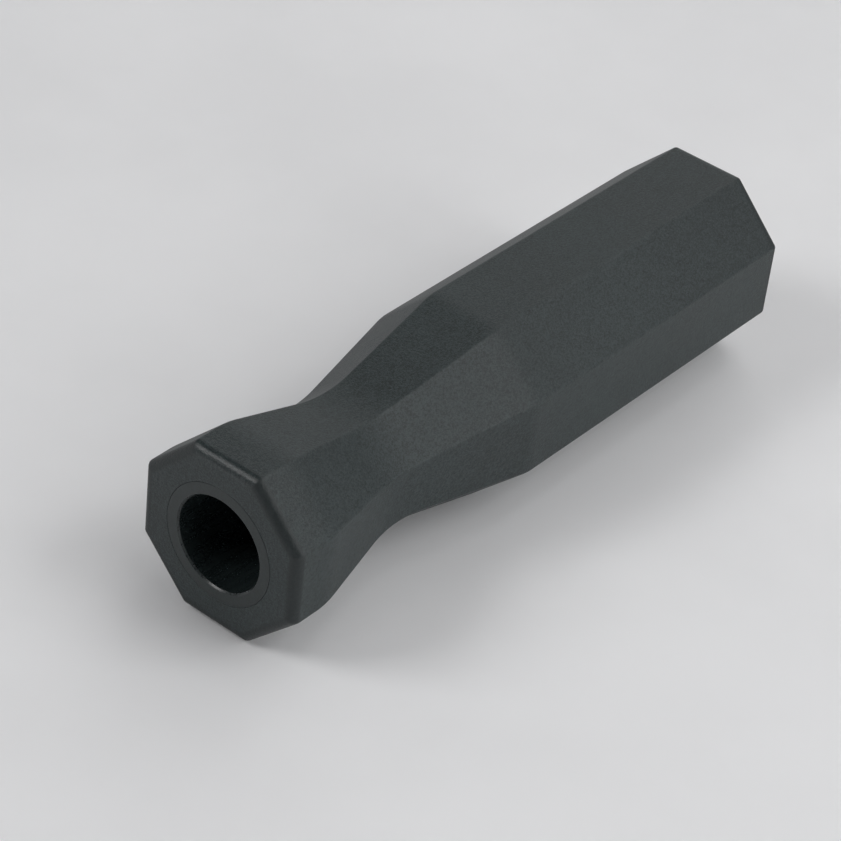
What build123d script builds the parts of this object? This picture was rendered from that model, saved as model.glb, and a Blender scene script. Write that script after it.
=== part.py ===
# Octagonal push-on handle for the steel rod of a football table.
#
# Frame: millimetres. The rod's axis is X. The origin is the centre of the bore's mouth, in the flat
# face of the collar, and the handle runs from there along +X to its butt. +Z is up: the handle lies
# on one of the eight flats of its grip.
#
# Pieces, from the outside in: the octagonal grip is moulded round a stiff rod sleeve. The sleeve
# holds the rod, a web across it stops the rod's end, and the well behind the web takes the screw
# that pulls the rod home. Two washers ride under the screw's head, and a push-in plug shuts the well.
# The screw stands as it does on a spare handle: held back, with its tip just inside the web.
import os

from build123d import *

# --- grip ---------------------------------------------------------------------------------------
overall_length = 121.0
grip_across_flats = 32.0
collar_across_flats = 30.8
collar_length = 7.5  # parallel collar, up to where the flare starts
waist_position = 27.8  # where the flare would meet the taper, from the collar's face
waist_wall = 1.15  # grip over sleeve there, before the waist is rounded
grip_start = 54.8  # where the taper meets the parallel grip
shoulder_radius = 20.0  # convex rounding between collar and flare
waist_radius = 28.0  # concave rounding of the waist
crease_radius = 14.0  # soft bend between taper and grip
end_rounding = 1.2  # rim of the collar's face and of the butt
corner_rounding = 0.7  # the eight long corners

# --- rod sleeve ---------------------------------------------------------------------------------
rod_diameter = 15.9
rod_clearance = 0.1  # radial, so the handle pushes on by hand
mouth_chamfer = 0.2  # lead-in round the bore's mouth
lip_wall = 2.25  # the sleeve's visible end ring
lip_length = 6.0
sleeve_wall = 1.5  # thin, to pass through the waist
barrel_wall = 2.5  # the thicker rear, round the well
barrel_lead = 3.0  # the full barrel starts this far ahead of the web
barrel_cone = 3.0  # length of the cone that leads up to the barrel
web_thickness = 6.0
well_chamfer = 0.4
key_count = 4  # ribs that stop the grip from turning on the sleeve
key_angle = 22.5  # degrees, so that they point at the grip's corners
key_width = 3.0
key_height = 1.5
key_inset = 6.0  # from each end of the barrel
key_root = 0.5  # how far a rib reaches into the barrel

# --- screw and washers --------------------------------------------------------------------------
screw_diameter = 8.0
screw_length = 25.0
screw_hole_clearance = 0.5  # radial, in the web
screw_hold_back = 0.8  # from the rod's end face to the resting screw's tip
tip_chamfer = 0.8
head_diameter = 13.0
head_height = 8.0
head_chamfer = 0.8
hex_key_size = 6.0
hex_key_depth = 4.0
flat_washer_diameter = 16.0
flat_washer_thickness = 1.6
flat_washer_clearance = 0.2  # radial, on the screw
washer_side_gap = 1.0  # radial, in the well
lock_washer_diameter = 14.4
lock_washer_thickness = 2.2
lock_washer_clearance = 0.1  # radial, on the screw
lock_washer_split = 1.0
lock_washer_slant = 30.0  # degrees, the split's lean from the axis

# --- end plug -----------------------------------------------------------------------------------
driver_room = 10.0  # between the resting screw's head and the plug's fingers
plug_head_thickness = 2.2
plug_head_clearance = 0.15  # radial, in the grip
plug_chamfer = 0.4
plug_dish_inset = 2.4  # rim round the shallow dish in the plug's face
plug_dish_depth = 0.4
spigot_length = 8.0
spigot_clearance = 0.08  # radial, in the well
spigot_wall = 1.6
spigot_root = 1.5  # unslotted length next to the plug's head
finger_gap = 2.0  # slots that split the spigot into four springy fingers
notch_width = 5.0  # for the blade that levers the plug out
notch_depth = 1.2
notch_height = 1.2

# --- radii and places worked out from the sizes above -------------------------------------------
bore_radius = rod_diameter / 2 + rod_clearance
sleeve_radius = bore_radius + sleeve_wall
lip_radius = bore_radius + lip_wall
half_waist = sleeve_radius + waist_wall
screw_radius = screw_diameter / 2
head_radius = head_diameter / 2
well_radius = flat_washer_diameter / 2 + washer_side_gap
barrel_radius = well_radius + barrel_wall
plug_radius = barrel_radius - plug_head_clearance
spigot_radius = well_radius - spigot_clearance
sleeve_end = overall_length - plug_head_thickness
spigot_start = sleeve_end - spigot_length
head_end = spigot_start - driver_room
head_seat = head_end - head_height
tip_position = head_seat - screw_length
rod_depth = tip_position - screw_hold_back
well_start = rod_depth + web_thickness
lock_washer_start = head_seat - lock_washer_thickness
flat_washer_start = lock_washer_start - flat_washer_thickness
screw_travel = flat_washer_start - well_start
barrel_start = rod_depth - barrel_lead
key_start = barrel_start + key_inset
key_length = sleeve_end - key_inset - key_start


def across(position):
    """The plane square to the rod's axis at this distance from the collar's face."""
    return Plane.YZ.offset(position)


def draw_side_view():
    """Half of the grip's side view: collar, flare, waist, taper and grip, with rounded corners."""
    half_collar = collar_across_flats / 2
    half_grip = grip_across_flats / 2
    FilletPolyline(
        (0, 0),
        (0, half_collar),
        (collar_length, half_collar),
        (waist_position, half_waist),
        (grip_start, half_grip),
        (overall_length, half_grip),
        (overall_length, 0),
        radius=[end_rounding, shoulder_radius, waist_radius, crease_radius, end_rounding],
    )
    Line((overall_length, 0), (0, 0))


def draw_sleeve_outline(end):
    """Half section of the sleeve's outside up to x = end: lip, thin sleeve, cone and barrel."""
    Polyline(
        (0, 0),
        (0, lip_radius),
        (lip_length, lip_radius),
        (lip_length, sleeve_radius),
        (barrel_start - barrel_cone, sleeve_radius),
        (barrel_start, barrel_radius),
        (end, barrel_radius),
        (end, 0),
        close=True,
    )


def draw_keys():
    """Cross-section of the ribs along the barrel."""
    with PolarLocations(barrel_radius + (key_height - key_root) / 2, key_count, start_angle=key_angle):
        Rectangle(key_height + key_root, key_width)


def leans_along_axis(edge):
    """True for an edge that runs along the handle, as the eight long corners do."""
    return abs(edge.end_point().X - edge.start_point().X) > end_rounding / 10


# --- grip: four crossed slabs of one side view leave an octagon at every station -----------------
with BuildPart() as grip_body:
    for turn in range(4):
        slab = Plane.XY.rotated((45 * turn, 0, 0))
        with BuildSketch(slab):
            with BuildLine():
                draw_side_view()
            make_face()
            mirror(about=Plane.XZ)
        extrude(
            amount=grip_across_flats,
            both=True,
            mode=Mode.ADD if turn == 0 else Mode.INTERSECT,
        )
    fillet(grip_body.edges().filter_by(leans_along_axis), radius=corner_rounding)
    with BuildSketch(Plane.XY):
        with BuildLine():
            draw_sleeve_outline(overall_length)
        make_face()
    revolve(axis=Axis.X, mode=Mode.SUBTRACT)
    with BuildSketch(across(key_start)):
        draw_keys()
    extrude(amount=key_length, mode=Mode.SUBTRACT)

# --- rod sleeve: lip, bore, web and screw well in one stiff moulding -----------------------------
with BuildPart() as rod_sleeve:
    with BuildSketch(Plane.XY):
        with BuildLine():
            draw_sleeve_outline(sleeve_end)
        make_face()
    revolve(axis=Axis.X)
    with BuildSketch(across(key_start)):
        draw_keys()
    extrude(amount=key_length)
    with BuildSketch(across(0)):
        Circle(bore_radius)
    extrude(amount=rod_depth, mode=Mode.SUBTRACT)
    with BuildSketch(across(well_start)):
        Circle(well_radius)
    extrude(amount=sleeve_end - well_start, mode=Mode.SUBTRACT)
    with BuildSketch(across(rod_depth)):
        Circle(screw_radius + screw_hole_clearance)
    extrude(amount=web_thickness, mode=Mode.SUBTRACT)
    rims = rod_sleeve.edges().filter_by(GeomType.CIRCLE)
    chamfer(rims.group_by(Axis.X)[0].sort_by(SortBy.RADIUS)[0], length=mouth_chamfer)
    rims = rod_sleeve.edges().filter_by(GeomType.CIRCLE)
    chamfer(rims.group_by(Axis.X)[-1].sort_by(SortBy.RADIUS)[0], length=well_chamfer)

# --- flat washer ---------------------------------------------------------------------------------
with BuildPart() as flat_washer:
    with BuildSketch(across(flat_washer_start)):
        Circle(flat_washer_diameter / 2)
        Circle(screw_radius + flat_washer_clearance, mode=Mode.SUBTRACT)
    extrude(amount=flat_washer_thickness)

# --- lock washer: a ring with a slanted split ----------------------------------------------------
with BuildPart() as lock_washer:
    with BuildSketch(across(lock_washer_start)):
        Circle(lock_washer_diameter / 2)
        Circle(screw_radius + lock_washer_clearance, mode=Mode.SUBTRACT)
    extrude(amount=lock_washer_thickness)
    with BuildSketch(Plane.XY):
        with Locations((lock_washer_start + lock_washer_thickness / 2, 0)):
            Rectangle(4 * lock_washer_thickness, lock_washer_split, rotation=lock_washer_slant)
    extrude(amount=lock_washer_diameter, mode=Mode.SUBTRACT)

# --- retaining screw: socket head cap screw ------------------------------------------------------
with BuildPart() as retaining_screw:
    with BuildSketch(across(tip_position)):
        Circle(screw_radius)
    extrude(amount=screw_length)
    with BuildSketch(across(head_seat)):
        Circle(head_radius)
    extrude(amount=head_height)
    rims = retaining_screw.edges().filter_by(GeomType.CIRCLE)
    chamfer(rims.group_by(Axis.X)[0], length=tip_chamfer)
    rims = retaining_screw.edges().filter_by(GeomType.CIRCLE)
    chamfer(rims.group_by(Axis.X)[-1], length=head_chamfer)
    with BuildSketch(across(head_end)):
        RegularPolygon(radius=hex_key_size / 2, side_count=6, major_radius=False)
    extrude(amount=-hex_key_depth, mode=Mode.SUBTRACT)

# --- end plug: dished head in the grip, four fingers in the well ---------------------------------
with BuildPart() as end_plug:
    with BuildSketch(across(sleeve_end)):
        Circle(plug_radius)
    extrude(amount=plug_head_thickness)
    rims = end_plug.edges().filter_by(GeomType.CIRCLE)
    chamfer(rims.group_by(Axis.X)[-1], length=plug_chamfer)
    with BuildSketch(across(overall_length)):
        Circle(plug_radius - plug_dish_inset)
    extrude(amount=-plug_dish_depth, mode=Mode.SUBTRACT)
    with BuildSketch(across(overall_length)):
        with Locations((0, plug_radius)):
            Rectangle(notch_width, 2 * notch_depth)
    extrude(amount=-notch_height, mode=Mode.SUBTRACT)
    with BuildSketch(across(spigot_start)):
        Circle(spigot_radius)
        Circle(spigot_radius - spigot_wall, mode=Mode.SUBTRACT)
    extrude(amount=spigot_length)
    with BuildSketch(across(spigot_start)):
        Rectangle(2 * well_radius, finger_gap)
        Rectangle(finger_gap, 2 * well_radius)
    extrude(amount=spigot_length - spigot_root, mode=Mode.SUBTRACT)

# --- write one file for each piece ---------------------------------------------------------------
pieces = {
    "grip_body": grip_body,
    "rod_sleeve": rod_sleeve,
    "flat_washer": flat_washer,
    "lock_washer": lock_washer,
    "retaining_screw": retaining_screw,
    "end_plug": end_plug,
}
os.makedirs("parts", exist_ok=True)
for name, piece in pieces.items():
    piece.part.label = name
    export_step(piece.part, f"parts/{name}.step")
print(f"rod depth {rod_depth:.2f}, screw travel {screw_travel:.2f}, well from {well_start:.2f}")
print(f"screw head ends at {head_end:.2f}, plug fingers start at {spigot_start:.2f}")
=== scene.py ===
# %% [markdown]
# # A table football rod handle
# The handle of a football table is an octagonal plastic grip that pushes onto the end of a steel
# rod. It narrows to a waist behind its collar, so that the thumb finds a place. Inside are a stiff
# sleeve for the rod, a screw with two washers that pulls the rod home, and a plug that shuts the
# butt.
#
# The rod's axis is X. The collar's face is at x = 0 and the butt is at the far end. The handle lies
# on one flat of its grip, so the table top is at the lowest z of the grip.

import math

import bmesh
import bpy
from mathutils import Matrix, Vector


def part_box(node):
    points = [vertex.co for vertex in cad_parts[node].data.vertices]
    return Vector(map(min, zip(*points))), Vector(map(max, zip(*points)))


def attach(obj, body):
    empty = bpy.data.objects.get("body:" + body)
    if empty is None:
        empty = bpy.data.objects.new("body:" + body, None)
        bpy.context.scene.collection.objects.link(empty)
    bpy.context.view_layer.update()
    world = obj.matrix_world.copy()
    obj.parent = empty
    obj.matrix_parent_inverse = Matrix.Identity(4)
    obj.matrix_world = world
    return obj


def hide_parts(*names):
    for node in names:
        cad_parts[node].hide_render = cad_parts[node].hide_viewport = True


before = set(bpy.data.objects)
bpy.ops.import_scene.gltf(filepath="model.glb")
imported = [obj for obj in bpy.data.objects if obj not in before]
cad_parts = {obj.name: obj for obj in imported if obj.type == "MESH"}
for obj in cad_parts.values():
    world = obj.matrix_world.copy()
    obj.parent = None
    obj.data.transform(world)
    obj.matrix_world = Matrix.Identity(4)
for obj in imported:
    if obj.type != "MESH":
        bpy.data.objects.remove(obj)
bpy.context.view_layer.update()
MM = 0.001

# %% [markdown]
# ## Sizes
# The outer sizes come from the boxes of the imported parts, so that this model can't drift from the
# design. The sizes that no box shows, such as the waist, are written here in millimetres.

# %% Read the sizes from the frame
overall_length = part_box("grip_body")[1].x / MM
half_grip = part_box("grip_body")[1].z / MM
sleeve_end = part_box("rod_sleeve")[1].x / MM
tip_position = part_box("retaining_screw")[0].x / MM
head_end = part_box("retaining_screw")[1].x / MM
head_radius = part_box("retaining_screw")[1].z / MM
flat_washer_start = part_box("flat_washer")[0].x / MM
flat_washer_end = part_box("flat_washer")[1].x / MM
flat_washer_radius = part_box("flat_washer")[1].z / MM
lock_washer_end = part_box("lock_washer")[1].x / MM
lock_washer_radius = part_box("lock_washer")[1].z / MM
spigot_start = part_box("end_plug")[0].x / MM
plug_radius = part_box("end_plug")[1].y / MM
floor_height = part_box("grip_body")[0].z
print(f"grip {overall_length:.1f} mm long and {2 * half_grip:.1f} mm across its flats")

# %% Name the sizes that no box shows
FLATS = 8
half_collar = 15.4
collar_length = 7.5
waist_position = 27.8
half_waist = 10.7
grip_start = 54.8
shoulder_radius = 20.0
waist_radius = 28.0
crease_radius = 14.0
end_rounding = 1.2
collar_rim_rounding = 1.6
corner_rounding = 0.7

bore_radius = 8.05
lip_radius = 10.3
lip_length = 6.0
sleeve_radius = 9.55
barrel_radius = 11.5
barrel_start = 64.0
barrel_cone = 3.0
rod_depth = 67.0
web_end = 73.0
web_hole_radius = 4.5
well_radius = 9.0
rib_inset = 6.0
rib_height = 1.0
rib_count = 4
joint_rounding = 0.12

screw_radius = 4.0
head_height = 8.0
thread_pitch = 1.25
thread_depth = 0.62
knurl_count = 48
knurl_depth = 0.16
hex_key_size = 6.0
hex_key_depth = 4.0
print(f"waist at {waist_position:.1f} mm, grip from {grip_start:.1f} mm on")

# %% [markdown]
# ## Node trees as sums
# A material is a calculation: where am I, how near is a corner, how rough is it here. Written out
# as nodes, such a sum is long. The small class below wraps one output of a node, so that adding or
# multiplying two of them adds the Math node by itself. Every other node comes from one method that
# takes the node's type, its settings and what goes into its sockets.

# %% A wire and a bench
class Wire:
    """One output of a node, which can be used in a sum like a number."""

    def __init__(self, bench, socket):
        self.bench, self.socket = bench, socket

    def math(self, operation, *others):
        """A Math node on this wire and any others."""
        inputs = dict(enumerate((self, *others)))
        return self.bench.node("ShaderNodeMath", {"operation": operation}, inputs)

    def __add__(self, other):
        return self.math("ADD", other)

    __radd__ = __add__

    def __mul__(self, other):
        return self.math("MULTIPLY", other)

    __rmul__ = __mul__

    def __sub__(self, other):
        return self.math("SUBTRACT", other)

    def __rsub__(self, other):
        return self.bench.node("ShaderNodeMath", {"operation": "SUBTRACT"}, {0: other, 1: self})

    def __truediv__(self, other):
        return self.math("DIVIDE", other)

    def __rtruediv__(self, other):
        return self.bench.node("ShaderNodeMath", {"operation": "DIVIDE"}, {0: other, 1: self})

    def __mod__(self, other):
        return self.math("FLOORED_MODULO", other)

    def __abs__(self):
        return self.math("ABSOLUTE")

    def between(self, low, high):
        """0 at low and below, 1 at high and above, and smooth in between."""
        settings = {"interpolation_type": "SMOOTHSTEP"}
        return self.bench.node("ShaderNodeMapRange", settings, {0: self, 1: low, 2: high})


class Bench:
    """A node tree under construction."""

    def __init__(self, tree):
        self.tree = tree

    def node(self, kind, settings=None, inputs=None, output=0):
        """Adds a node. Its settings come first, then the values or wires of its sockets."""
        node = self.tree.nodes.new(kind)
        for name, value in (settings or {}).items():
            setattr(node, name, value)
        for name, value in (inputs or {}).items():
            if isinstance(value, Wire):
                self.tree.links.new(value.socket, node.inputs[name])
            else:
                node.inputs[name].default_value = value
        return Wire(self, node.outputs[output]) if node.outputs else None


def other_output(wire, output):
    """Another output of the node that a wire comes from."""
    return Wire(wire.bench, wire.socket.node.outputs[output])


print("sums of wires become Math nodes")

# %% [markdown]
# ## One rule for every turned or swept piece
# The grip is one outline, seen from the side, carried round an octagon. The sleeve, the screw, the
# washer and the plug are outlines carried round a circle. So one Geometry Nodes tree makes them all.
# It takes the outline as a chain of points, rounds its bends, and lays a ring of points at every
# station. Marks on the outline's points say what a station has: flats, ribs, a thread or a knurl.
# The mark called rounding is the radius of a bend.
#
# The pieces could also be modelled by hand, but then a new waist or a longer grip would mean
# modelling again. Here it is a changed number.

# %% The inputs of the tree
MARKS = ("rounding", "flatted", "ribbed", "threaded", "knurled")
SWEEP_INPUTS = (
    ("Ring points", "NodeSocketInt", 96),
    ("Flats", "NodeSocketInt", 8),
    ("Corner rounding", "NodeSocketFloat", 0.0),
    ("Corner steps", "NodeSocketInt", 1),
    ("Arc steps", "NodeSocketInt", 10),
    ("Closed", "NodeSocketInt", 1),
    ("Rib count", "NodeSocketInt", 4),
    ("Rib half angle", "NodeSocketFloat", math.radians(8.5)),
    ("Rib height", "NodeSocketFloat", 0.0),
    ("Thread pitch", "NodeSocketFloat", 0.001),
    ("Thread depth", "NodeSocketFloat", 0.0),
    ("Knurl count", "NodeSocketInt", 48),
    ("Knurl depth", "NodeSocketFloat", 0.0),
    ("Finish", "NodeSocketMaterial", None),
)


def open_sweep_tree():
    """A tree with only its named inputs, and these inputs as wires."""
    tree = bpy.data.node_groups.new("ring_carried_along_outline", "GeometryNodeTree")
    tree.interface.new_socket("Outline", in_out="INPUT", socket_type="NodeSocketGeometry")
    for name, kind, value in SWEEP_INPUTS:
        socket = tree.interface.new_socket(name, in_out="INPUT", socket_type=kind)
        if value is not None:
            socket.default_value = value
    tree.interface.new_socket("Piece", in_out="OUTPUT", socket_type="NodeSocketGeometry")
    bench = Bench(tree)
    given = bench.node("NodeGroupInput")
    names = ["Outline"] + [name for name, kind, value in SWEEP_INPUTS]
    return bench, {name: other_output(given, name) for name in names}


print(len(SWEEP_INPUTS), "named inputs")

# %% [markdown]
# The ring is a circle of points pushed out to a polygon. A point at angle a from the middle of a
# flat lies at 1 / cos(a) times the distance of the flat. The bends of that polygon get their small
# rounding from the same Fillet Curve node that rounds the outline.

# %% The ring and the outline inside the tree
NEAR_CORNER = 0.99  # share of the way from the middle of a flat to its corner


def make_ring(bench, given):
    """A polygon whose flats are 1 from the centre, with as many points as asked for."""
    circle = bench.node(
        "GeometryNodeCurvePrimitiveCircle",
        {"mode": "RADIUS"},
        {"Resolution": given["Ring points"], "Radius": 1.0},
    )
    place = bench.node("GeometryNodeInputPosition")
    split = bench.node("ShaderNodeSeparateXYZ", {}, {0: place})
    angle = other_output(split, "Y").math("ARCTAN2", split)
    flat_angle = math.tau / given["Flats"]
    from_flat = (angle + flat_angle / 2) % flat_angle - flat_angle / 2
    reach = 1.0 / from_flat.math("COSINE")
    pushed = bench.node(
        "ShaderNodeVectorMath", {"operation": "SCALE"}, {0: place, "Scale": reach}
    )
    polygon = bench.node("GeometryNodeSetPosition", {}, {0: circle, "Position": pushed})
    is_corner = (abs(from_flat) * 2 / flat_angle).math("GREATER_THAN", NEAR_CORNER)
    return bench.node(
        "GeometryNodeFilletCurve",
        {"mode": "POLY"},
        {
            "Curve": polygon,
            "Count": given["Corner steps"],
            "Radius": given["Corner rounding"] * is_corner,
        },
    )


def read_mark(bench, name):
    """The value of a mark at each point of the outline."""
    settings = {"data_type": "FLOAT"}
    return bench.node("GeometryNodeInputNamedAttribute", settings, {"Name": name})


def make_outline(bench, given):
    """The piece's side view as a curve with rounded bends."""
    chain = bench.node("GeometryNodeMeshToCurve", {}, {"Mesh": given["Outline"]})
    rounding = read_mark(bench, "rounding")
    inputs = {"Curve": chain, "Count": given["Arc steps"], "Radius": rounding}
    return bench.node("GeometryNodeFilletCurve", {"mode": "POLY"}, inputs)


def count_points(bench, curve):
    """How many points a curve has."""
    settings = {"component": "CURVE"}
    return bench.node("GeometryNodeAttributeDomainSize", settings, {0: curve}, "Point Count")


print("the ring and the outline are ready to be crossed")

# %% [markdown]
# Crossing the two gives the surface. Point number n of the swept mesh belongs to station n // count
# and to ring point n % count, so both places can be looked up by number. The radius of the station,
# times the reach of the ring point, plus the rib, less the thread's groove and the knurl's flute, is
# the distance from the axis.

# %% Cross the outline with the ring
MERGE_DISTANCE = 1e-6
WHOLE_GUARD = 1e-4  # keeps a whole number from falling just under itself in a division
RIB_TURN = math.radians(22.5)  # ribs stand under corners of the grip
FLANK_STRETCH, CREST_CUT = 1.3, 0.15  # these leave flat crests and roots on the thread


def sample(bench, source, value, index, kind):
    """What another curve has at the point of that number."""
    settings = {"data_type": kind, "domain": "POINT"}
    inputs = {0: source, "Value": value, "Index": index}
    return bench.node("GeometryNodeSampleIndex", settings, inputs)


def build_sweep_tree():
    """The whole tree, from its inputs to the piece."""
    bench, given = open_sweep_tree()
    ring = make_ring(bench, given)
    outline = make_outline(bench, given)
    ring_count = count_points(bench, ring)
    station_count = count_points(bench, outline)

    line = bench.node("GeometryNodeCurvePrimitiveLine", {}, {"End": (1, 0, 0)})
    spine = bench.node(
        "GeometryNodeResampleCurve",
        {},
        {"Curve": line, "Count": station_count + given["Closed"]},
    )
    sheet = bench.node("GeometryNodeCurveToMesh", {}, {"Curve": spine, "Profile Curve": ring})

    number = bench.node("GeometryNodeInputIndex")
    station = (number / ring_count + WHOLE_GUARD).math("FLOOR") % station_count
    spot = number % ring_count
    place = bench.node("GeometryNodeInputPosition")
    on_outline = sample(bench, outline, place, station, "FLOAT_VECTOR")
    on_ring = sample(bench, ring, place, spot, "FLOAT_VECTOR")
    along = bench.node("ShaderNodeSeparateXYZ", {}, {0: on_outline})
    radius = other_output(along, "Y")
    mark = {
        name: sample(bench, outline, read_mark(bench, name), station, "FLOAT") for name in MARKS
    }

    ring_split = bench.node("ShaderNodeSeparateXYZ", {}, {0: on_ring})
    side, up = ring_split, other_output(ring_split, "Y")
    reach = (side * side + up * up).math("SQRT")
    angle = up.math("ARCTAN2", side)
    distance = radius * (1 + mark["flatted"] * (reach - 1))

    rib_spacing = math.tau / given["Rib count"]
    from_rib = abs((angle - RIB_TURN + rib_spacing / 2) % rib_spacing - rib_spacing / 2)
    on_rib = from_rib.math("LESS_THAN", given["Rib half angle"])
    turns = along / given["Thread pitch"] - angle / math.tau
    tooth = abs(turns % 1 - 0.5) * 2
    groove = tooth * FLANK_STRETCH - CREST_CUT
    groove = groove.math("MINIMUM", 1.0).math("MAXIMUM", 0.0)
    flute = ((angle * given["Knurl count"]).math("COSINE") + 1) / 2

    distance = distance + mark["ribbed"] * on_rib * given["Rib height"]
    distance = distance - mark["threaded"] * groove * given["Thread depth"]
    distance = distance - mark["knurled"] * flute * given["Knurl depth"]
    target = bench.node(
        "ShaderNodeCombineXYZ",
        {},
        {"X": along, "Y": side / reach * distance, "Z": up / reach * distance},
    )
    shaped = bench.node("GeometryNodeSetPosition", {}, {0: sheet, "Position": target})
    welded = bench.node("GeometryNodeMergeByDistance", {}, {0: shaped, "Distance": MERGE_DISTANCE})
    real = bench.node("GeometryNodeRealizeInstances", {}, {0: welded})
    done = bench.node("GeometryNodeSetMaterial", {}, {0: real, "Material": given["Finish"]})
    bench.node("NodeGroupOutput", {}, {0: done})
    return bench.tree


sweep_tree = build_sweep_tree()
print(len(sweep_tree.nodes), "nodes carry a ring along an outline")

# %% [markdown]
# ## From an outline to a finished mesh
# The tree works as a modifier. Its result is copied into a plain mesh, its doubles are merged, its
# faces are turned outwards, and edges that bend sharply are marked sharp. A Weighted Normal
# modifier then lets the large flat faces keep flat shading next to their narrow rounded corners.

# %% Helpers that finish a mesh
SHARP_ANGLE = math.radians(32)
SLIVER = 1e-7  # edges shorter than this, in metres, are dissolved


def bake_modifiers(piece):
    """Replaces a piece's mesh with what its modifiers make of it."""
    graph = bpy.context.evaluated_depsgraph_get()
    mesh = bpy.data.meshes.new_from_object(
        piece.evaluated_get(graph), preserve_all_data_layers=True, depsgraph=graph
    )
    piece.modifiers.clear()
    piece.data = mesh
    mesh.name = piece.name


def tidy_mesh(piece):
    """Merges doubles, turns faces outwards and marks the sharp edges."""
    bm = bmesh.new()
    bm.from_mesh(piece.data)
    bmesh.ops.remove_doubles(bm, verts=bm.verts, dist=MERGE_DISTANCE)
    bmesh.ops.dissolve_degenerate(bm, dist=SLIVER, edges=bm.edges)
    bmesh.ops.recalc_face_normals(bm, faces=bm.faces)
    for face in bm.faces:
        face.smooth = True
    for edge in bm.edges:
        edge.smooth = edge.is_manifold and edge.calc_face_angle() < SHARP_ANGLE
    open_edges = sum(1 for edge in bm.edges if not edge.is_manifold)
    if bm.calc_volume(signed=True) < 0:
        bmesh.ops.reverse_faces(bm, faces=bm.faces)
    cubic_mm = bm.calc_volume() / MM**3
    bm.to_mesh(piece.data)
    bm.free()
    weighting = piece.modifiers.new("even_normals", "WEIGHTED_NORMAL")
    weighting.keep_sharp = True
    weighting.weight = 100
    bake_modifiers(piece)
    faces = len(piece.data.polygons)
    print(f"{piece.name}: {faces} faces, {cubic_mm:.0f} mm3, {open_edges} open edges")


def chain_mesh(name, points, closed):
    """The outline as a chain of edges. Each point is x, radius and its marks, in millimetres."""
    mesh = bpy.data.meshes.new(name)
    count = len(points)
    edges = [(k, (k + 1) % count) for k in range(count if closed else count - 1)]
    mesh.from_pydata([(x * MM, radius * MM, 0) for x, radius, marks in points], edges, [])
    for mark in MARKS:
        layer = mesh.attributes.new(mark, "FLOAT", "POINT")
        scale = MM if mark == "rounding" else 1
        for k, (x, radius, marks) in enumerate(points):
            layer.data[k].value = marks.get(mark, 0) * scale
    return mesh


def sweep_piece(name, points, finish, closed=True, **sizes):
    """Makes a piece from its outline. Sizes are the tree's inputs, with _ for a space."""
    piece = bpy.data.objects.new(name, chain_mesh(name, points, closed))
    bpy.context.scene.collection.objects.link(piece)
    modifier = piece.modifiers.new("sweep", "NODES")
    modifier.node_group = sweep_tree
    identifier = {
        item.name: item.identifier
        for item in sweep_tree.interface.items_tree
        if item.item_type == "SOCKET" and item.in_out == "INPUT"
    }
    modifier[identifier["Closed"]] = int(closed)
    modifier[identifier["Finish"]] = finish
    for size, value in sizes.items():
        modifier[identifier[size.replace("_", " ")]] = value
    bake_modifiers(piece)
    tidy_mesh(piece)
    return piece


print("an outline of points becomes a closed mesh")

# %% [markdown]
# ## Grip plastic
# The grip is moulded in charcoal nylon, in a spark-eroded mould. That leaves a fine even grain, and
# it is what makes the flats look soft and satin instead of shiny. The rounded rims were cut into the
# mould with a tool, so they are smoother, and thumbs have polished the top rim of the collar. The
# other rims are darkened with painted shade. A hand polishes the long corners a little too, so there
# the plastic is a touch lighter. The grain is three sizes of noise, each in a Bump node of its own,
# and the corners are found from the angle round the axis.

# %% Helpers for finishes
def open_material(name):
    """A new node material and the bench for its nodes."""
    material = bpy.data.materials.new(name)
    material.use_nodes = True
    material.node_tree.nodes.clear()
    return material, Bench(material.node_tree)


def close_material(bench, inputs):
    """Adds the shader with the values or wires given and joins it to the output."""
    shader = bench.node("ShaderNodeBsdfPrincipled", {}, inputs)
    bench.node("ShaderNodeOutputMaterial", {}, {"Surface": shader})


def grain(bench, place, size, detail=2.0, roughness=0.5):
    """Noise whose lumps are about size millimetres across."""
    inputs = {"Vector": place, "Scale": 1 / (size * MM), "Detail": detail, "Roughness": roughness}
    return bench.node("ShaderNodeTexNoise", {}, inputs)


def mix_colours(bench, share, first, second):
    """First colour at share 0, second at share 1."""
    settings = {"data_type": "RGBA"}
    return bench.node("ShaderNodeMix", settings, {0: share, 6: first, 7: second}, 2)


def bump(bench, height, depth, distance, under=None):
    """A Bump node. Distance is the height of a full step, in millimetres."""
    inputs = {"Strength": depth, "Distance": distance * MM, "Height": height}
    if under is not None:
        inputs["Normal"] = under
    return bench.node("ShaderNodeBump", {}, inputs)


def from_axis(bench):
    """Wires for the place on a piece: the vector, x, y and z, and the distance from the axis."""
    place = bench.node("ShaderNodeTexCoord", {}, {}, "Object")
    split = bench.node("ShaderNodeSeparateXYZ", {}, {0: place})
    along, side, up = split, other_output(split, "Y"), other_output(split, "Z")
    return place, along, side, up, (side * side + up * up).math("SQRT")


print("materials can be put together from sums")

# %% Grip plastic
GRIP_DARK = (0.0059, 0.0106, 0.0112, 1)
GRIP_LIGHT = (0.0328, 0.0458, 0.0468, 1)
GRIP_WORN = (0.050, 0.062, 0.062, 1)
CORNER_REACH = 1.1  # millimetres from a long corner over which the plastic is worn
# A rim's own look is a fainter grain and, except on the top rim of the collar, painted shade.
RIM_LENGTH = 1.15, 1.8  # millimetres from an end face between which a rim's own look fades out
RIM_BAND = 2.1, 1.4  # millimetres in from the collar's flats between which it fades in
TOP_EDGE = 0.35, 0.40  # angles from the top, in radians, between which the thumb's polish ends


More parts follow.
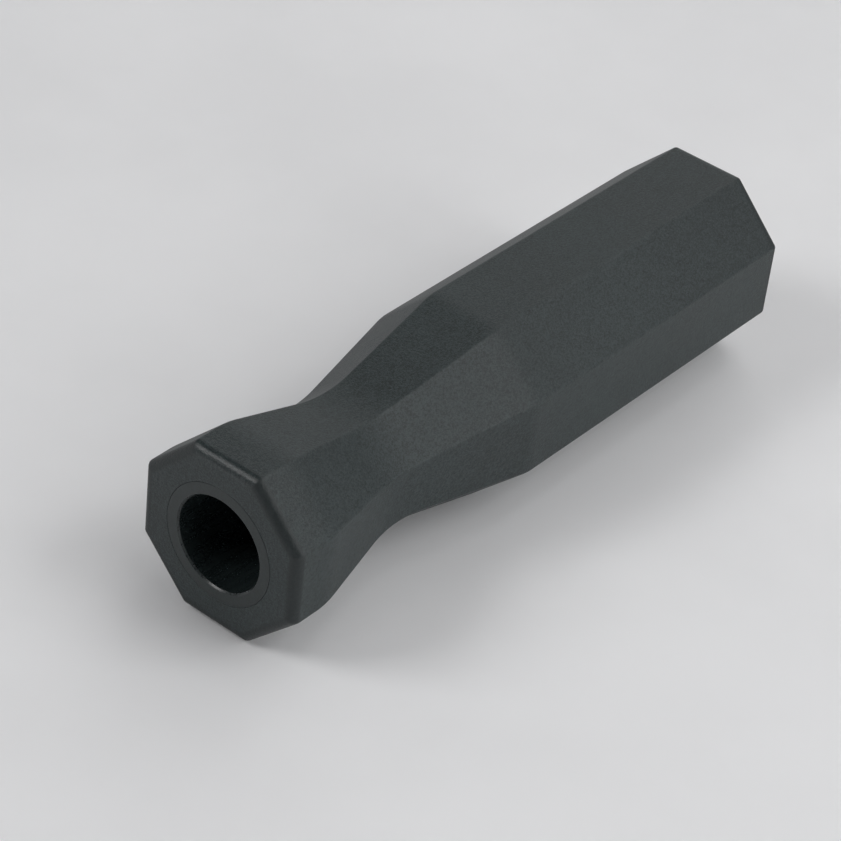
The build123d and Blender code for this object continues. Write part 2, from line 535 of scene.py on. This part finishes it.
def grip_plastic():
    material, bench = open_material("grip_plastic")
    place, along, side, up, radius = from_axis(bench)
    flat_angle = math.tau / FLATS
    angle = up.math("ARCTAN2", side)
    from_flat = abs((angle + flat_angle / 2) % flat_angle - flat_angle / 2)
    corner_gap = (flat_angle / 2 - from_flat) * radius / MM
    middle = overall_length / 2 * MM
    end_gap = (middle - abs(along - middle)) / MM

    speckle = grain(bench, place, 0.20, 2.0, 0.7)
    fine = grain(bench, place, 0.42, 3.0, 0.6)
    coarse = grain(bench, place, 1.1, 2.0)
    cloud = grain(bench, place, 26.0, 3.0)
    scuffs = grain(bench, place, 5.0, 4.0, 0.65)

    near_corner = 1 - (corner_gap + scuffs * 0.8).between(0.35, CORNER_REACH)
    outside = radius.between((half_waist - 0.6) * MM, (half_waist + 0.2) * MM)
    on_side = end_gap.between(0.2, end_rounding)
    flat_gap = radius * from_flat.math("COSINE") / MM
    # The rims: here the grain is fainter and the colour is darkened as painted shade.
    rim = 1 - end_gap.between(*RIM_LENGTH)
    rim = rim * flat_gap.between(half_collar - RIM_BAND[0], half_collar - RIM_BAND[1])
    # The top rim of the collar gets no painted shade and is less rough.
    thumb_rim = rim * (1 - abs(angle - math.pi / 2).between(*TOP_EDGE))
    worn = near_corner * outside * on_side * scuffs.between(0.38, 0.66) * 0.3

    tone = (speckle * 0.7 + fine * 0.5 + cloud * 0.15 + coarse * 0.15 - 0.25).between(0.37, 0.65)
    # Painted shade: on every rim but the top rim of the collar, the colour is pulled towards the
    # dark grain colour.
    grain_tone_with_painted_rim_shade = mix_colours(bench, tone * (1 - (rim - thumb_rim) * 0.8), GRIP_DARK, GRIP_LIGHT)
    colour = mix_colours(bench, worn, grain_tone_with_painted_rim_shade, GRIP_WORN)
    roughness = 0.5 + (cloud - 0.5) * 0.12 + (speckle - 0.5) * 0.20 - worn * 0.12 - thumb_rim * 0.17
    relief = 1 - worn * 0.5 - rim * 0.2

    skin = bump(bench, coarse, 0.15, 0.10)
    skin = bump(bench, fine * relief, 0.75, 0.09, skin)
    skin = bump(bench, speckle * relief, 0.85, 0.06, skin)
    close_material(
        bench,
        {"Base Color": colour, "Roughness": roughness, "Normal": skin, "IOR": 1.5},
    )
    return material


grip_finish = grip_plastic()
print("grip plastic:", len(grip_finish.node_tree.nodes), "nodes")

# %% [markdown]
# ## Sleeve plastic
# The rod sleeve is glass-filled nylon, a shade blacker than the grip. Its end ring is faced in the
# mould, with very faint rings round the bore. Its bore and the lead-in are smoother, rubbed by rods
# that were pushed in. The rings are a wave over the distance from the axis, broken up by noise.

# %% Sleeve plastic
SLEEVE_DARK = (0.0070, 0.0110, 0.0114, 1)
SLEEVE_LIGHT = (0.0225, 0.0310, 0.0315, 1)


def sleeve_plastic():
    material, bench = open_material("sleeve_plastic")
    place, _, _, _, radius = from_axis(bench)
    radius = radius / MM
    fine = grain(bench, place, 0.28, 3.0, 0.6)
    fibres = bench.node("ShaderNodeMapping", {}, {"Vector": place, "Scale": (0.12, 1.0, 1.0)})
    streaks = grain(bench, fibres, 0.9, 4.0, 0.6)
    rings = ((radius * 26 + streaks * 3).math("SINE") + 1) / 2
    tone = (fine * 0.6 + streaks * 0.5 + rings * 0.08).between(0.35, 0.8)
    colour = mix_colours(bench, tone, SLEEVE_DARK, SLEEVE_LIGHT)
    mouth = 1 - (radius - bore_radius).between(0.25, 0.5)
    roughness = 0.44 + (streaks - 0.5) * 0.16 + (fine - 0.5) * 0.08 - mouth * 0.16
    skin = bump(bench, rings, 0.08, 0.02)
    skin = bump(bench, fine, 0.3, 0.035, skin)
    close_material(
        bench,
        {"Base Color": colour, "Roughness": roughness, "Normal": skin, "IOR": 1.5},
    )
    return material


sleeve_finish = sleeve_plastic()
print("sleeve plastic:", len(sleeve_finish.node_tree.nodes), "nodes")

# %% [markdown]
# ## Plug plastic
# The plug is softer polyethylene, so that its fingers spring. It is black too, with a waxy gleam,
# and its face shows the faint swirl of plastic that flowed out from the gate in the middle.

# %% Plug plastic
PLUG_DARK = (0.0125, 0.0128, 0.0130, 1)
PLUG_LIGHT = (0.0245, 0.0250, 0.0256, 1)


def plug_plastic():
    material, bench = open_material("plug_plastic")
    place, _, side, up, radius = from_axis(bench)
    radius = radius / MM
    angle = up.math("ARCTAN2", side)
    fine = grain(bench, place, 0.4, 3.0, 0.55)
    cloud = grain(bench, place, 7.0, 3.0)
    swirl = ((angle * 3 + radius * 0.55 + cloud * 5).math("SINE") + 1) / 2
    tone = (swirl * 0.35 + cloud * 0.5 + fine * 0.2).between(0.25, 0.85)
    colour = mix_colours(bench, tone, PLUG_DARK, PLUG_LIGHT)
    roughness = 0.40 + (swirl - 0.5) * 0.07 + (fine - 0.5) * 0.10
    skin = bump(bench, swirl, 0.06, 0.04)
    skin = bump(bench, fine, 0.22, 0.03, skin)
    close_material(
        bench,
        {"Base Color": colour, "Roughness": roughness, "Normal": skin, "IOR": 1.51},
    )
    return material


plug_finish = plug_plastic()
print("plug plastic:", len(plug_finish.node_tree.nodes), "nodes")

# %% [markdown]
# ## Zinc-plated steel
# The screw and the washers are steel with bright zinc. New zinc has a bluish shine with a hint of
# straw colour, tiny pits from the plating bath, and grey scuffs where tools and threads have
# rubbed.

# %% Zinc steel
ZINC_BLUE = (0.50, 0.53, 0.57, 1)
ZINC_STRAW = (0.60, 0.57, 0.49, 1)
ZINC_DULL = (0.27, 0.28, 0.29, 1)


def zinc_steel():
    material, bench = open_material("zinc_steel")
    place = bench.node("ShaderNodeTexCoord", {}, {}, "Object")
    cloud = grain(bench, place, 4.5, 4.0, 0.6)
    pits = grain(bench, place, 0.22, 3.0, 0.6)
    drag = bench.node("ShaderNodeMapping", {}, {"Vector": place, "Scale": (1.0, 0.08, 0.08)})
    scratches = grain(bench, drag, 0.16, 2.0)
    rubbed = scratches.between(0.56, 0.70) * 0.6 + pits.between(0.62, 0.75) * 0.5
    bright = mix_colours(bench, cloud.between(0.35, 0.68), ZINC_BLUE, ZINC_STRAW)
    colour = mix_colours(bench, rubbed.math("MINIMUM", 1.0), bright, ZINC_DULL)
    roughness = 0.27 + rubbed * 0.16 + (cloud - 0.5) * 0.12
    skin = bump(bench, pits, 0.16, 0.02)
    skin = bump(bench, scratches, 0.12, 0.01, skin)
    close_material(
        bench,
        {"Base Color": colour, "Roughness": roughness, "Normal": skin, "Metallic": 1.0},
    )
    return material


zinc_finish = zinc_steel()
print("zinc steel:", len(zinc_finish.node_tree.nodes), "nodes")

# %% [markdown]
# ## The grip
# The side view of the grip is a chain of straight runs with rounded bends: a short collar, a flare
# down to the waist, a long taper up to the parallel grip, and the butt. Those stations are
# octagonal. The chain then goes back through the hole for the sleeve, where the stations are round
# and where four grooves take the ribs of the sleeve.

# %% Make the grip
flatted, ribbed = {"flatted": 1}, {"ribbed": 1}
face_band = 2.5  # the outer band of an end face that is octagonal


def bend(radius, marks):
    """Marks for a point with a rounding of so many millimetres."""
    return {**marks, "rounding": radius}


def sleeve_side(end):
    """The stations that the sleeve and its hole in the grip share, from the lip to the end."""
    rib_start = barrel_start + rib_inset
    rib_end = sleeve_end - rib_inset
    return [
        (lip_length, lip_radius, {}),
        (lip_length, sleeve_radius, {}),
        (barrel_start - barrel_cone, sleeve_radius, {}),
        (barrel_start, barrel_radius, {}),
        (rib_start, barrel_radius, {}),
        (rib_start, barrel_radius, ribbed),
        (rib_end, barrel_radius, ribbed),
        (rib_end, barrel_radius, {}),
        (end, barrel_radius, {}),
    ]


grip_outline = [
    (0, lip_radius, bend(joint_rounding, {})),
    (0, half_collar - face_band, flatted),
    (0, half_collar, bend(collar_rim_rounding, flatted)),
    (collar_length, half_collar, bend(shoulder_radius, flatted)),
    (waist_position, half_waist, bend(waist_radius, flatted)),
    (grip_start, half_grip, bend(crease_radius, flatted)),
    (overall_length, half_grip, bend(end_rounding, flatted)),
    (overall_length, half_grip - face_band, flatted),
    (overall_length, barrel_radius, bend(joint_rounding, {})),
]
grip_outline += reversed(sleeve_side(sleeve_end))
grip = sweep_piece(
    "octagonal_grip",
    grip_outline,
    grip_finish,
    Ring_points=96,
    Flats=FLATS,
    Corner_rounding=corner_rounding / half_grip,
    Corner_steps=5,
    Arc_steps=16,
    Rib_count=rib_count,
    Rib_height=rib_height * MM,
)
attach(grip, "handle")
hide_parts("grip_body")

# %% [markdown]
# ## The rod sleeve
# The sleeve is one stiff moulding. From the front it is only a ring round the bore. Behind that it
# is a thin tube, and near the end of the rod it becomes a thicker barrel, with a web across it and
# the well for the screw. The ring stands flush in the collar, with a hair-thin joint round it.

# %% Make the rod sleeve
lead_in = 0.3
mouth_rounding = 0.08
well_lead_in = 0.4
well_floor_rounding, bore_floor_rounding, web_rounding = 0.5, 0.4, 0.3
sleeve_outline = [
    (0, bore_radius + lead_in, bend(mouth_rounding, {})),
    (0, lip_radius, bend(joint_rounding, {})),
    *sleeve_side(sleeve_end),
    (sleeve_end, well_radius + well_lead_in, {}),
    (sleeve_end - well_lead_in, well_radius, {}),
    (web_end, well_radius, bend(well_floor_rounding, {})),
    (web_end, web_hole_radius, bend(web_rounding, {})),
    (rod_depth, web_hole_radius, bend(web_rounding, {})),
    (rod_depth, bore_radius, bend(bore_floor_rounding, {})),
    (lead_in, bore_radius, {}),
]
sleeve = sweep_piece(
    "rod_sleeve_moulding",
    sleeve_outline,
    sleeve_finish,
    Ring_points=96,
    Arc_steps=5,
    Rib_count=rib_count,
    Rib_height=rib_height * MM,
)
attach(sleeve, "handle")
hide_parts("rod_sleeve")

# %% [markdown]
# ## The screw
# A socket head cap screw has a rolled thread, a knurled head for the fingers and a hexagonal hole
# for the key. All three are rules round the axis, so the same tree makes them: the thread follows
# the angle as it goes along, the knurl is a wave round the head, and the hole is a ring with six
# flats. The thread needs many stations, so its run is filled with points.

# %% Make the screw
def run_of_points(start, end, count, radius, marks):
    """Points evenly spaced along a straight run of the outline."""
    step = (end - start) / (count - 1)
    return [(start + k * step, radius, marks) for k in range(count)]


threaded, knurled = {"threaded": 1}, {"knurled": 1}
head_seat = head_end - head_height
key_floor = head_end - hex_key_depth
key_reach = hex_key_size / 2
thread_points = 172
tip_chamfer, tip_length = 0.9, 0.7
thread_runout, shank_length = 2.4, 1.9
head_foot_chamfer, head_top_chamfer = 0.4, 0.8
knurl_start, knurl_end = 1.1, 1.5  # from the head's seat and from its top
knurl_step = 0.2, 0.3  # over which the knurl comes in and goes out
key_lead_in, key_lead_depth = 0.75, 0.35
key_cone = 0.7

screw_outline = [
    (tip_position, 0, {}),
    (tip_position, screw_radius - tip_chamfer, {}),
    *run_of_points(
        tip_position + tip_length,
        head_seat - thread_runout,
        thread_points,
        screw_radius,
        threaded,
    ),
    (head_seat - shank_length, screw_radius, {}),
    (head_seat, screw_radius, bend(0.3, {})),
    (head_seat, head_radius - head_foot_chamfer, {}),
    (head_seat + head_foot_chamfer, head_radius, {}),
    (head_seat + knurl_start - knurl_step[0], head_radius, {}),
    (head_seat + knurl_start, head_radius, knurled),
    (head_end - knurl_end, head_radius, knurled),
    (head_end - knurl_end + knurl_step[1], head_radius, {}),
    (head_end, head_radius - head_top_chamfer, bend(0.5, {})),
    (head_end, key_reach + key_lead_in, {}),
    (head_end - key_lead_depth, key_reach, flatted),
    (key_floor, key_reach, flatted),
    (key_floor - key_cone, 0, {}),
]
screw = sweep_piece(
    "socket_head_screw",
    screw_outline,
    zinc_finish,
    closed=False,
    Ring_points=192,
    Flats=6,
    Arc_steps=4,
    Thread_pitch=thread_pitch * MM,
    Thread_depth=thread_depth * MM,
    Knurl_count=knurl_count,
    Knurl_depth=knurl_depth * MM,
)
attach(screw, "screw")
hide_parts("retaining_screw")

# %% [markdown]
# ## The washers
# The flat washer is punched from sheet, so one face has a soft rolled-over edge and the other is
# crisp. The spring washer is a bar of square wire wound to a ring, and each of its cut ends is at a
# slant. The ends are a little apart along the axis, which is what makes it spring. It isn't the same
# all round, so it is made point by point instead of with the tree.

# %% Make the flat washer
washer_hole = 4.2
crisp_edge, rolled_edge, rolled_hole = 0.15, 0.5, 0.3
washer_face = flat_washer_start + 0.03  # clears the web by a hair when the screw is home
washer_outline = [
    (washer_face, washer_hole, bend(crisp_edge, {})),
    (washer_face, flat_washer_radius, bend(crisp_edge, {})),
    (flat_washer_end, flat_washer_radius, bend(rolled_edge, {})),
    (flat_washer_end, washer_hole, bend(rolled_hole, {})),
]
washer = sweep_piece("plain_washer", washer_outline, zinc_finish, Ring_points=96, Arc_steps=5)
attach(washer, "washers")
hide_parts("flat_washer")

# %% Helpers for the spring washer
CUT_SLANT = math.radians(30)


def wire_section(half_width, half_height, corner):
    """A rectangle with rounded corners, as pairs of across and along the axis."""
    section = []
    for across, along in ((1, 1), (-1, 1), (-1, -1), (1, -1)):
        for turn in range(4):
            swing = math.radians(30 * turn)
            first, second = math.cos(swing), math.sin(swing)
            if across * along < 0:
                first, second = second, first
            wide = half_width - corner + corner * first
            high = half_height - corner + corner * second
            section.append((across * wide, along * high))
    return section


def wind_wire(bm, section, middle, centre, lift, gap, steps=72):
    """Rings of points once round the axis. The gap is half the opening at the top, in radians."""
    rings = []
    for k in range(steps + 1):
        share = k / steps
        fade = 1 - 2 * share
        ring = []
        for across, along in section:
            slant = math.tan(CUT_SLANT) * along / middle * fade
            angle = math.pi / 2 + gap + share * (math.tau - 2 * gap) + slant * abs(fade)
            radius = middle + across
            x = centre + along + (share - 0.5) * lift
            y, z = radius * math.cos(angle), radius * math.sin(angle)
            ring.append(bm.verts.new((x * MM, y * MM, z * MM)))
        rings.append(ring)
    return rings


def spring_washer(name, start, end, inner, outer, lift, gap, corner=0.25):
    """A bar of wire wound once round the axis, with its two cut ends closed."""
    section = wire_section((outer - inner) / 2, (end - start - lift) / 2, corner)
    bm = bmesh.new()
    rings = wind_wire(bm, section, (inner + outer) / 2, (start + end) / 2, lift, gap)
    count = len(section)
    for first, second in zip(rings, rings[1:]):
        for k in range(count):
            j = (k + 1) % count
            bm.faces.new((first[k], first[j], second[j], second[k]))
    bm.faces.new(rings[0])
    bm.faces.new(reversed(rings[-1]))
    mesh = bpy.data.meshes.new(name)
    bm.to_mesh(mesh)
    bm.free()
    mesh.materials.append(zinc_finish)
    piece = bpy.data.objects.new(name, mesh)
    bpy.context.scene.collection.objects.link(piece)
    tidy_mesh(piece)
    return piece


print(f"cut ends slant by {math.degrees(CUT_SLANT):.0f} degrees")

# %% Make the spring washer
spring_hole = 4.15
spring_lift = 0.35
half_gap = 0.10  # radians
split_washer = spring_washer(
    "spring_washer",
    flat_washer_end,
    lock_washer_end,
    spring_hole,
    lock_washer_radius,
    spring_lift,
    half_gap,
)
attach(split_washer, "washers")
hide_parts("lock_washer")

# %% [markdown]
# ## The end plug
# The plug has a shallow dish in its face and a tube behind it, which is slit into four springy
# fingers that grip the well. The head and the tube are one outline. The slits and the notch for a
# blade are cut out with Boolean modifiers, because they are the only things that don't go round.

# %% Make the end plug
spigot_radius = 8.92
spigot_wall = 1.6
spigot_bore = spigot_radius - spigot_wall
dish_radius = plug_radius - 2.4
dish_depth = 0.4
dish_floor = overall_length - dish_depth
gate_foot, gate_top, gate_height = 1.6, 1.3, 0.15  # the mark of the mould's gate in the middle

plug_outline = [
    (sleeve_end, 0, {}),
    (sleeve_end, spigot_bore, bend(0.3, {})),
    (spigot_start, spigot_bore, bend(0.2, {})),
    (spigot_start, spigot_radius, bend(0.7, {})),
    (sleeve_end, spigot_radius, {}),
    (sleeve_end, plug_radius, bend(0.15, {})),
    (overall_length, plug_radius, bend(0.45, {})),
    (overall_length, dish_radius + dish_depth, bend(0.3, {})),
    (dish_floor, dish_radius, bend(0.3, {})),
    (dish_floor, gate_foot, {}),
    (dish_floor + gate_height, gate_top, bend(0.1, {})),
    (dish_floor + gate_height, 0, {}),
]
plug = sweep_piece(
    "push_in_plug", plug_outline, plug_finish, closed=False, Ring_points=96, Arc_steps=5
)

# %% Cut its slits and its notch
def cut_box(piece, low, high):
    """Cuts a box out of a piece. The corners are in millimetres."""
    bm = bmesh.new()
    size = Vector(high) - Vector(low)
    middle = (Vector(high) + Vector(low)) / 2
    place = Matrix.Translation(middle * MM) @ Matrix.Diagonal((*(size * MM), 1))
    bmesh.ops.create_cube(bm, size=1, matrix=place)
    mesh = bpy.data.meshes.new("cutter")
    bm.to_mesh(mesh)
    bm.free()
    cutter = bpy.data.objects.new("cutter", mesh)
    bpy.context.scene.collection.objects.link(cutter)
    cut = piece.modifiers.new("cut", "BOOLEAN")
    cut.object, cut.operation, cut.solver = cutter, "DIFFERENCE", "EXACT"
    bake_modifiers(piece)
    bpy.data.objects.remove(cutter)


past = 1  # millimetres that a cutter stands out of the piece
slit_start, slit_end = spigot_start - past, sleeve_end - 1.5
slit_half = 1.0
reach = well_radius + past
notch_depth = 1.2
notch_half = 2.5
cut_box(plug, (slit_start, -slit_half, -reach), (slit_end, slit_half, reach))
cut_box(plug, (slit_start, -reach, -slit_half), (slit_end, reach, slit_half))
cut_box(
    plug,
    (overall_length - notch_depth, -notch_half, plug_radius - notch_depth),
    (overall_length + past, notch_half, plug_radius + past),
)
tidy_mesh(plug)
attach(plug, "plug")
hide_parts("end_plug")

# %% [markdown]
# ## The table top
# The handle lies on a sheet of pale matt board, which curves up far behind the lamps on all sides,
# so that no edge shows from any angle. Board is never quite even: its fibres make a faint
# cloudiness and a very fine tooth.

# %% Pale board
BOARD_LIGHT = (0.93, 0.93, 0.94, 1)
BOARD_DARK = (0.88, 0.88, 0.89, 1)


def pale_board():
    material, bench = open_material("pale_board")
    place = bench.node("ShaderNodeTexCoord", {}, {}, "Object")
    cloud = grain(bench, place, 60.0, 4.0)
    tooth = grain(bench, place, 0.8, 3.0)
    colour = mix_colours(bench, cloud.between(0.3, 0.7), BOARD_LIGHT, BOARD_DARK)
    roughness = 0.75 + (tooth - 0.5) * 0.1
    skin = bump(bench, tooth, 0.1, 0.05)
    close_material(bench, {"Base Color": colour, "Roughness": roughness, "Normal": skin})
    return material


print("pale board is ready")

# %% Shape the table top
def board_mesh(name, sections, segments=96):
    """A round sheet. Each section is a radius and a height over the table top, in metres."""
    middle = overall_length / 2 * MM
    points = [(middle, 0, floor_height)]
    for radius, height in sections:
        for k in range(segments):
            angle = math.tau * k / segments
            x, y = middle + radius * math.cos(angle), radius * math.sin(angle)
            points.append((x, y, floor_height + height))
    faces = [(0, k + 1, (k + 1) % segments + 1) for k in range(segments)]
    for ring in range(len(sections) - 1):
        start = 1 + ring * segments
        for k in range(segments):
            j = (k + 1) % segments
            outer, outer_next = start + segments + k, start + segments + j
            faces.append((start + k, outer, outer_next, start + j))
    mesh = bpy.data.meshes.new(name)
    mesh.from_pydata(points, [], faces)
    mesh.shade_smooth()
    return mesh


flat_radius, cove_radius, wall_height = 1.2, 0.5, 1.5
board_sections = [(0.3, 0), (0.7, 0), (flat_radius, 0)]
for degrees in range(10, 100, 10):
    swing = math.radians(degrees)
    radius = flat_radius + cove_radius * math.sin(swing)
    board_sections.append((radius, cove_radius * (1 - math.cos(swing))))
board_sections.append((flat_radius + cove_radius, wall_height))
board = bpy.data.objects.new("table_top", board_mesh("table_top", board_sections))
board.data.materials.append(pale_board())
bpy.context.scene.collection.objects.link(board)
print(f"table top at z = {floor_height / MM:.1f} mm")

# %% [markdown]
# ## The camera
# A long lens from half a metre away keeps the flats nearly parallel. The camera looks down on the
# collar from the front left, and it is rolled a little, as a camera held in the hand is.

# %% Place the camera
CAMERA_PLACE = (-265.0, -226.4, 284.8)
CAMERA_AIM = (52.1, 3.9, -6.0)
CAMERA_ROLL = math.radians(-6.7)
LENS = 130.7


def place_camera(location, aim, roll, lens):
    """A camera at a place, turned to look at another. Both are in millimetres."""
    camera_data = bpy.data.cameras.new("camera")
    camera = bpy.data.objects.new("camera", camera_data)
    bpy.context.scene.collection.objects.link(camera)
    camera_data.lens = lens
    camera_data.sensor_width = 36.0
    camera_data.clip_end = 20.0
    look = (Vector(aim) - Vector(location)).normalized()
    right = look.cross(Vector((0, 0, 1))).normalized()
    up = right.cross(look)
    up = up * math.cos(roll) + right * math.sin(roll)
    right = look.cross(up)
    turn = Matrix((right, up, -look)).transposed().to_4x4()
    camera.matrix_world = Matrix.Translation(Vector(location) * MM) @ turn
    bpy.context.scene.camera = camera
    return camera


camera = place_camera(CAMERA_PLACE, CAMERA_AIM, CAMERA_ROLL, LENS)
print("camera looks along", [round(v, 3) for v in -camera.matrix_world.col[2].xyz])

# %% [markdown]
# ## The light
# Dark plastic shows itself by what it reflects, so the lamps are large and soft, and they stand all
# round. The strongest hang on the near side. The butt gets less, which gives each flat its own shade
# of grey. One narrower lamp stands on the far side of the collar, and draws the bright line along
# its upper rim. A lamp's place is a turn round the table from the +X end and a height, in degrees.
# Its size is in metres and its power in watts.

# %% Hang the lamps
LAMP_DISTANCE = 1.0
WIDE, NARROW = 0.55, 0.4
LAMPS = (
    ("over_butt", 0, 68, WIDE, 0.69),
    ("near_side_low", -90, 16, WIDE, 2.02),
    ("near_side_steep", -72, 68, WIDE, 0.88),
    ("near_right_high", -67.5, 42, WIDE, 2.89),
    ("near_butt_high", -22.5, 42, WIDE, 0.21),
    ("behind_butt_low", 0, 16, WIDE, 0.24),
    ("behind_butt_high", 22.5, 42, WIDE, 0.97),
    ("far_right_low", 45, 16, WIDE, 0.34),
    ("rim_light", 142, 40, NARROW, 3.0),
)


def softbox(name, around, above, size, power):
    """A square area lamp that looks at the middle of the handle."""
    lamp_data = bpy.data.lights.new(name, "AREA")
    lamp_data.shape = "SQUARE"
    lamp_data.size = size
    lamp_data.energy = power
    lamp = bpy.data.objects.new(name, lamp_data)
    bpy.context.scene.collection.objects.link(lamp)
    around, above = math.radians(around), math.radians(above)
    level = math.cos(above)
    way = Vector((level * math.cos(around), level * math.sin(around), math.sin(above)))
    middle = Vector((overall_length / 2 * MM, 0, 0))
    turn = way.to_track_quat("Z", "Y").to_matrix().to_4x4()
    lamp.matrix_world = Matrix.Translation(middle + way * LAMP_DISTANCE) @ turn


for lamp in LAMPS:
    softbox(*lamp)
world = bpy.data.worlds.new("pale_room")
bpy.context.scene.world = world
world.use_nodes = True
world.node_tree.nodes.clear()
room = Bench(world.node_tree)
sky = room.node("ShaderNodeBackground", {}, {"Color": (0.95, 0.98, 1.0, 1), "Strength": 0.03})
room.node("ShaderNodeOutputWorld", {}, {"Surface": sky})
bpy.context.scene.view_settings.view_transform = "Standard"
print(len(LAMPS), "softboxes and a pale room")
